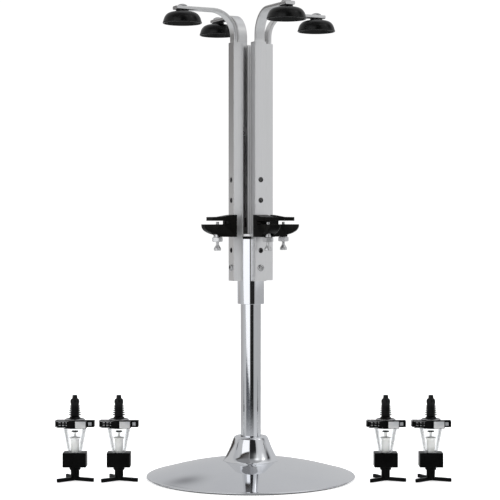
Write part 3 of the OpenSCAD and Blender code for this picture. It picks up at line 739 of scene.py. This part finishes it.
def frame_trim_bm():
    """Thin silver frame round the wing's outer end and under the ribs."""
    return merge(box_bm(-32.57, -30.2, -8.1, 7.9, 99.0, 100.1, 0.3, 2), box_bm(-32.57, -30.2, -8.1, 7.9, 89.7, 90.8, 0.3, 2), box_bm(-29.8, 1.6, -14.7, -13.8, 88.7, 89.9, 0.25, 2), box_bm(-29.8, -6.0, -14.7, -13.8, 99.7, 100.6, 0.25, 2))


def chamber_bm():
    outer = fillet([(7.25, 47.02, 0), (12.0, 47.02, 0.4), (12.3, 49.5, 2), (19, 86, 3), (19, 87.98, 0.2)], 4)
    inner = [(17.2, 87.98), (17.1, 86.2), (16.6, 83.5), (10.6, 51.2), (10.0, 49.6), (9.2, 49.1), (7.25, 49.0)]
    return lathe_bm(outer + inner, 96, closed=True)


def valve_box_bm():
    b = prism_bm(fillet([(-19.5, -13.5, 1.6), (19.5, -13.5, 1.6), (19.5, 13.5, 1.6), (-19.5, 13.5, 1.6)], 4), 23, 47)
    b = bevel_bm(b, 0.7, 3, 60)
    neck = lathe_bm(fillet([(0, 18, 0), (9.3, 18, 0.6), (9.3, 24, 0), (0, 24, 0)], 4), 64)
    bmesh.ops.recalc_face_normals(neck, faces=neck.faces)
    b = cut(b, [neck], "UNION")
    return cut(b, [cyl_bm(7.25, 10, 60, 64)])


def push_bar_bm():
    hub = lathe_bm(fillet([(0, 0.2, 0), (5.4, 0.2, 1.2), (6.8, 5, 1), (7.2, 8, 1.5), (7.2, 30, 0.4), (0, 30, 0)], 4), 64)
    bmesh.ops.recalc_face_normals(hub, faces=hub.faces)
    prongs = []
    for a in (-25, 119, 221):
        out = [(0, -2.9)] + [(33.1 + 2.9 * math.sin(t), -2.9 * math.cos(t)) for t in [pi * k / 12 for k in range(13)]] + [(0, 2.9)]
        p = bevel_bm(prism_bm(out, 0.0, 6.0), 0.9, 3, 50)
        prongs.append(move_bm(p, Matrix.Rotation(math.radians(a), 4, "Z")))
    return cut(hub, prongs, "UNION")


def stem_bm():
    return lathe_bm(fillet([(0, 30.05, 0), (6.9, 30.05, 0.3), (6.9, 68.6, 1.5), (8.8, 70.2, 0.5), (9.0, 71.8, 0.3), (5.0, 72.3, 1.0), (2.3, 73.0, 1), (2.2, 79.4, 0.6), (3.4, 80.6, 0)], 3) + [(0, 80.6)], 64)


def seal_bm():
    return lathe_bm([(0, 80.62), (5.2, 80.62), (5.6, 80.9), (5.6, 82.3), (5.2, 82.6), (0, 82.6)], 48)


for i in range(4):
    T = at_measure(i)
    mb, pb = f"measure_{i+1}", f"push_bar_{i+1}"
    finish_mesh(stopper_bm(), f"stopper_{i+1}_fins", RUBBER, mb, f"stopper_{i+1}", T, sharp=40)
    finish_mesh(head_bm(), f"measure_head_{i+1}_body", MOULD, mb, f"measure_head_{i+1}", T, sharp=35)
    finish_mesh(flange_ring_bm(), f"stopper_{i+1}_ring", SILVER, mb, f"stopper_{i+1}", T, sharp=40)
    finish_mesh(ribs_bm(), f"measure_head_{i+1}_ribs", MOULD, mb, f"measure_head_{i+1}", T, sharp=35)
    finish_mesh(dashes_bm(), f"measure_head_{i+1}_dashes", SILVER, mb, f"measure_head_{i+1}", T, sharp=35)
    finish_mesh(frame_trim_bm(), f"measure_head_{i+1}_trim", SILVER, mb, f"measure_head_{i+1}", T, sharp=35)
    finish_mesh(box_bm(2.7, 19.9, -21.4, -20.6, 89.0, 100.3, 0.35, 3), f"measure_head_{i+1}_plate", GREY, mb, f"measure_head_{i+1}", T, sharp=35)
    finish_mesh(box_bm(22.6, 28.4, -9.0, -7.9, 92.0, 97.8, 0.3, 2), f"measure_head_{i+1}_lug_pad", GREY, mb, f"measure_head_{i+1}", T, sharp=35)
    finish_mesh(chamber_bm(), f"chamber_{i+1}_cone", CLEAR, mb, f"chamber_{i+1}", T, sharp=35)
    finish_mesh(valve_box_bm(), f"valve_box_{i+1}_body", MOULD, mb, f"valve_box_{i+1}", T, sharp=35)
    finish_mesh(push_bar_bm(), f"plunger_{i+1}_bar", MOULD, pb, f"plunger_{i+1}", T, sharp=35)
    finish_mesh(stem_bm(), f"plunger_{i+1}_stem", IVORY, pb, f"plunger_{i+1}", T, sharp=35)
    finish_mesh(seal_bm(), f"plunger_{i+1}_seal", RUBBER, pb, f"plunger_{i+1}", T, sharp=35)

# CAD nodes that stay as they are get their materials
for name, mat in (("base_ballast", IRON), ("base_bolt", ZINC), ("carousel_bearings", NYLON), ("rail_blocks", DARK_ZINC)):
    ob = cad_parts[name]
    for s in ob.material_slots:
        s.material = mat
    if not ob.material_slots:
        ob.data.materials.append(mat)

# ------------------------------------------------------------------ stage, light, camera


def simple_mat(name, color, emit=0.0, rough=0.8):
    m = Mat(name, Roughness=rough)
    m.set("Base Color", m.ramp(m.noise(3, 2), [(0.3, rgb(color)), (0.7, rgb(color * 1.01))]))
    if emit:
        m.b.inputs["Emission Color"].default_value = (1, 1, 1, 1)
        m.b.inputs["Emission Strength"].default_value = emit
    return m.m


bm = bmesh.new()
bmesh.ops.create_circle(bm, cap_ends=True, segments=96, radius=14, matrix=Matrix.Translation((0, 0, -0.0003)))
floor = temp_obj(bm, "floor")
floor.data.materials.append(simple_mat("floor_white", 0.90, 0.60))
floor.visible_glossy = False

bm = bmesh.new()
bmesh.ops.create_uvsphere(bm, u_segments=64, v_segments=32, radius=13)
bmesh.ops.reverse_faces(bm, faces=bm.faces)
wall = temp_obj(bm, "backdrop")
wall.data.materials.append(simple_mat("backdrop_white", 0.0, 1.02))
wall.visible_glossy = False
wall.visible_diffuse = False
wall.visible_shadow = False

world = bpy.data.worlds.new("studio")
bpy.context.scene.world = world
world.use_nodes = True
wt = world.node_tree
wn, wl = wt.nodes, wt.links
bg = wn["Background"]
co = wn.new("ShaderNodeTexCoord").outputs["Generated"]
sep = wn.new("ShaderNodeSeparateXYZ")
wl.new(co, sep.inputs[0])


def wmath(op, a, b=None, c=None, clamp=False):
    m = wn.new("ShaderNodeMath")
    m.operation = op
    m.use_clamp = clamp
    for s, v in zip(m.inputs, (a, b, c)):
        if v is None:
            continue
        if isinstance(v, (int, float)):
            s.default_value = v
        else:
            wl.new(v, s)
    return m.outputs[0]


def wramp(fac, stops, interp="LINEAR"):
    r = wn.new("ShaderNodeValToRGB")
    r.color_ramp.interpolation = interp
    el = r.color_ramp.elements
    while len(el) < len(stops):
        el.new(0.5)
    for e, (p, c) in zip(el, stops):
        e.position = p
        e.color = c if isinstance(c, (tuple, list)) else (c, c, c, 1)
    wl.new(fac, r.inputs["Fac"])
    return r.outputs["Color"]


def wmix(fac, a, b):
    m = wn.new("ShaderNodeMix")
    m.data_type = "RGBA"
    for sock, v in ((m.inputs[6], a), (m.inputs[7], b)):
        if isinstance(v, (tuple, list)):
            sock.default_value = v
        else:
            wl.new(v, sock)
    wl.new(fac, m.inputs[0])
    return m.outputs[2]


# azimuth seen from the object: 0 towards the front, positive to the right, in degrees
az = wmath("MULTIPLY", wmath("ARCTAN2", sep.outputs[0], wmath("MULTIPLY", sep.outputs[1], -1.0)), 180 / pi)
el = wmath("MULTIPLY", wmath("ARCSINE", sep.outputs[2]), 180 / pi)
f = wmath("ADD", wmath("DIVIDE", az, 360.0), 0.5)


def P(deg):
    return deg / 360.0 + 0.5


G = lambda v, t=1.0: (v * 0.99, v, v * 1.02 * t, 1)
ring = wramp(f, [(0.0, G(0.47)), (P(-140), G(0.42)), (P(-122), (0.36, 0.34, 0.33, 1)), (P(-100), G(0.40)), (P(-76), G(0.46)), (P(-72), G(1.0)), (P(-17), G(1.0)), (P(-9.5), G(0.9)),
                 (P(-6), G(0.016)), (P(31), G(0.016)), (P(35.5), G(0.48)), (P(50), G(0.66)), (P(75), G(0.60)), (P(110), G(0.53)), (P(150), G(0.50)), (1.0, G(0.47))])
# below the horizon: a dark patch rises from the left, then a pale floor
left_edge = wmath("ADD", wmath("MULTIPLY", wmath("ADD", az, 70.0), -0.035), -4.6)      # height where the left card ends
in_card = wmath("MULTIPLY", wmath("GREATER_THAN", az, -72.0), wmath("LESS_THAN", az, -4.0))
below_card = wmath("MULTIPLY", in_card, wmath("SUBTRACT", 1.0, wmath("SMOOTH_MIN", 1.0, wmath("MAXIMUM", wmath("MULTIPLY", wmath("SUBTRACT", el, left_edge), 1.6), 0.0), 0.01)))
body = wmix(below_card, ring, (0.085, 0.09, 0.10, 1))
low = wmath("MULTIPLY", wmath("SUBTRACT", -7.2, el), 0.8, clamp=True)
body = wmix(low, body, (0.56, 0.57, 0.58, 1))
# overhead: a pale soft ceiling
high = wmath("MULTIPLY", wmath("SUBTRACT", el, 48.0), 0.05, clamp=True)
body = wmix(high, body, (0.78, 0.79, 0.81, 1))
# in front, the white card ends overhead against the dark of the room
side = wmath("SUBTRACT", 1.0, wmath("MULTIPLY", wmath("SUBTRACT", wmath("ABSOLUTE", az), 66.0), 0.09, clamp=True))
over = wmath("MULTIPLY", wmath("MULTIPLY", wmath("SUBTRACT", el, 40.0), 0.045, clamp=True), side)
body = wmix(wmath("MULTIPLY", over, 0.8), body, (0.16, 0.16, 0.165, 1))


def bell(v, lo, hi, soft):
    """1 between lo and hi, falling to 0 over a soft border."""
    up = wmath("DIVIDE", wmath("SUBTRACT", v, lo), soft, clamp=True)
    down = wmath("DIVIDE", wmath("SUBTRACT", hi, v), soft, clamp=True)
    return wmath("MULTIPLY", up, down)


# behind on the left the room is dark and warm above the table, on the right the card is a little greyer there
back_left = bell(az, -160.0, -92.0, 12.0)
body = wmix(wmath("MULTIPLY", back_left, wmath("MULTIPLY", wmath("ADD", el, 3.0), 0.5, clamp=True)), body, (0.50, 0.50, 0.50, 1))
warm = wmath("MULTIPLY", wmath("MULTIPLY", wmath("SUBTRACT", el, 0.4), 0.22, clamp=True), wmath("MULTIPLY", wmath("SUBTRACT", 15.5, el), 0.16, clamp=True))
body = wmix(wmath("MULTIPLY", back_left, warm), body, (0.030, 0.022, 0.018, 1))
grey = wmath("MULTIPLY", bell(az, 30.0, 104.0, 6.0), wmath("MULTIPLY", wmath("SUBTRACT", el, 0.2), 0.5, clamp=True))
body = wmix(wmath("MULTIPLY", grey, 0.30), body, (0.42, 0.42, 0.415, 1))


def patch(body, a0, e0, wa, we, strength, color):
    """A soft round patch on the walls, at an azimuth and height in degrees."""
    d = wmath("ADD", wmath("POWER", wmath("DIVIDE", wmath("SUBTRACT", az, a0), wa), 2.0), wmath("POWER", wmath("DIVIDE", wmath("SUBTRACT", el, e0), we), 2.0))
    return wmix(wmath("MULTIPLY", wmath("EXPONENT", wmath("MULTIPLY", d, -1.0)), strength), body, color)


# low on the right the table's far side is greyer
right_low = wmath("MULTIPLY", bell(az, 31.0, 176.0, 4.0), wmath("MULTIPLY", wmath("MULTIPLY", wmath("SUBTRACT", -2.15, el), 2.5, clamp=True), wmath("MULTIPLY", wmath("ADD", el, 8.2), 0.8, clamp=True)))
body = wmix(wmath("MULTIPLY", right_low, 0.92), body, (0.375, 0.378, 0.385, 1))
# the left card leans: its outer edge comes inwards with height
lean = wmath("MAXIMUM", wmath("MULTIPLY", el, 0.45), wmath("MULTIPLY", wmath("SUBTRACT", -2.6, el), 7.0))
lean = wmath("SUBTRACT", wmath("MINIMUM", lean, 12.5), 64.5)
off_card = wmath("MULTIPLY", wmath("MULTIPLY", wmath("SUBTRACT", lean, az), 0.4, clamp=True), wmath("MULTIPLY", wmath("GREATER_THAN", az, -76.0), wmath("LESS_THAN", el, 41.0)))
body = wmix(off_card, body, (0.47, 0.475, 0.48, 1))
# the left card ends overhead, the right one has a bright top, and the room beyond it is dark
left_over = wmath("MULTIPLY", bell(az, -92.0, -3.0, 9.0), wmath("MULTIPLY", wmath("SUBTRACT", el, 38.3), 0.5, clamp=True))
body = wmix(left_over, body, wmix(wmath("MULTIPLY", wmath("SUBTRACT", el, 41.0), 0.12, clamp=True), (0.040, 0.035, 0.032, 1), (0.21, 0.21, 0.215, 1)))
body = patch(body, 38.0, 51.0, 15.0, 7.0, 0.95, (1.10, 1.11, 1.12, 1))
body = patch(body, 73.0, 44.0, 8.0, 6.0, 1.0, (1.9, 1.9, 1.9, 1))
body = patch(body, 101.0, 31.0, 11.0, 11.0, 1.0, (0.01, 0.01, 0.012, 1))
# a soft dark shape on the wall behind
body = patch(body, -168.6, 29.0, 2.8, 4.6, 0.5, (0.06, 0.06, 0.065, 1))
wl.new(body, bg.inputs["Color"])
bg.inputs["Strength"].default_value = 1.18


def area(name, loc, target, size, power, color=(1, 1, 1), glossy=True):
    L = bpy.data.lights.new(name, "AREA")
    L.shape = "RECTANGLE"
    L.size, L.size_y = size
    L.energy = power
    L.color = color
    o = bpy.data.objects.new(name, L)
    bpy.context.scene.collection.objects.link(o)
    o.location = loc
    o.rotation_euler = (Vector(target) - Vector(loc)).to_track_quat("-Z", "Y").to_euler()
    o.visible_camera = False
    o.visible_glossy = glossy
    return o


area("top_soft", (0.2, 0.3, 3.4), (0, 0, 0.3), (2.6, 2.6), 55, glossy=False)
area("right_high", (2.0, -0.6, 2.1), (0, 0, 0.6), (0.5, 0.6), 5, glossy=False)
area("left_high", (-2.08, -0.75, 2.3), (0, 0, 0.6), (1.0, 1.0), 8, glossy=False)

cam = bpy.data.cameras.new("camera")
cam.lens, cam.sensor_width = 1552 / 500 * 36, 36
co_ = bpy.data.objects.new("camera", cam)
bpy.context.scene.collection.objects.link(co_)
co_.location = (-0.0013, -2.6, 0.434)
co_.rotation_euler = (pi / 2 - math.atan(31 / 1552), 0, 0)
bpy.context.scene.camera = co_
bpy.context.scene.view_settings.view_transform = "Standard"
